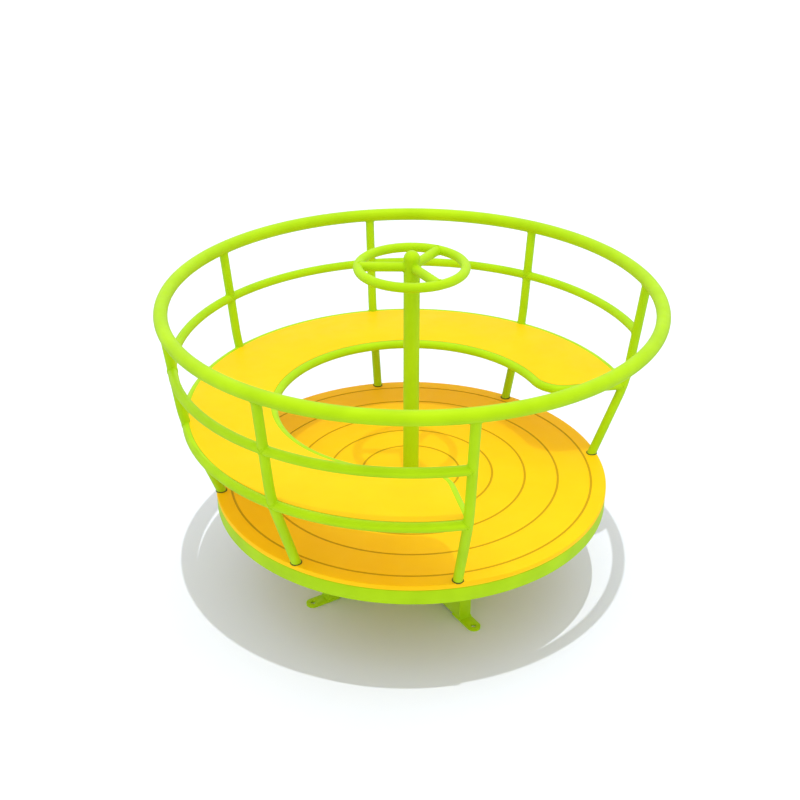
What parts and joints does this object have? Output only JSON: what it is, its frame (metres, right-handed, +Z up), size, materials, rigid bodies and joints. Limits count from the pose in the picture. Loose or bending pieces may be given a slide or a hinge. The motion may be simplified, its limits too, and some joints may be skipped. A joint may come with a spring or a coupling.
{
  "type": "playground merry-go-round",
  "caption": "Playground merry-go-round: round turning platform in a bowl of bent tube, with a C-shaped bench, fixed centre column and hand wheel.",
  "frame": {"origin": "on the ground at the spin axis, the centre of the feet", "axes": "+Z up along the spin axis; +X to the picture's right; the camera stands at -Y"},
  "size_m": [1.7663, 1.7664, 1.3165],
  "materials": {
    "green_powder_coat": "satin lime-green powder coat on steel",
    "deck_yellow_board": "satin solid-coloured plastic board",
    "seat_yellow_board": "satin solid-coloured plastic board"
  },
  "bodies": {
    "ground_frame": {"column": "green_powder_coat", "foot_1": "green_powder_coat", "foot_2": "green_powder_coat", "foot_3": "green_powder_coat", "foot_4": "green_powder_coat", "leg_1": "green_powder_coat", "leg_2": "green_powder_coat", "leg_3": "green_powder_coat", "leg_4": "green_powder_coat", "pedestal": "green_powder_coat", "thrust_collar": "green_powder_coat", "wheel_ring": "green_powder_coat", "wheel_spoke_1": "green_powder_coat", "wheel_spoke_2": "green_powder_coat", "wheel_spoke_3": "green_powder_coat"},
    "platform": {"bench_back_rail_1": "green_powder_coat", "bench_back_rail_2": "green_powder_coat", "bench_back_rail_3": "green_powder_coat", "bench_back_rail_4": "green_powder_coat", "bench_back_rail_5": "green_powder_coat", "bench_back_rail_6": "green_powder_coat", "bench_front_rail": "green_powder_coat", "bench_seat": "seat_yellow_board", "deck_board": "deck_yellow_board", "deck_rim": "green_powder_coat", "deck_spider": "green_powder_coat", "hub_sleeve": "green_powder_coat", "mid_rail_1": "green_powder_coat", "mid_rail_2": "green_powder_coat", "mid_rail_3": "green_powder_coat", "mid_rail_4": "green_powder_coat", "mid_rail_5": "green_powder_coat", "mid_rail_6": "green_powder_coat", "post_1": "green_powder_coat", "post_2": "green_powder_coat", "post_3": "green_powder_coat", "post_4": "green_powder_coat", "post_5": "green_powder_coat", "post_6": "green_powder_coat", "post_7": "green_powder_coat", "seat_bearer_1": "green_powder_coat", "seat_bearer_2": "green_powder_coat", "seat_bearer_3": "green_powder_coat", "seat_bearer_4": "green_powder_coat", "seat_bearer_5": "green_powder_coat", "top_rail": "green_powder_coat"}
  },
  "joints": [
    {"name": "platform_spin", "type": "hinge", "parent": "ground_frame", "child": "platform", "pos_m": [0, 0, 0.32], "axis": [0, 0, 1], "continuous": true}
  ]
}
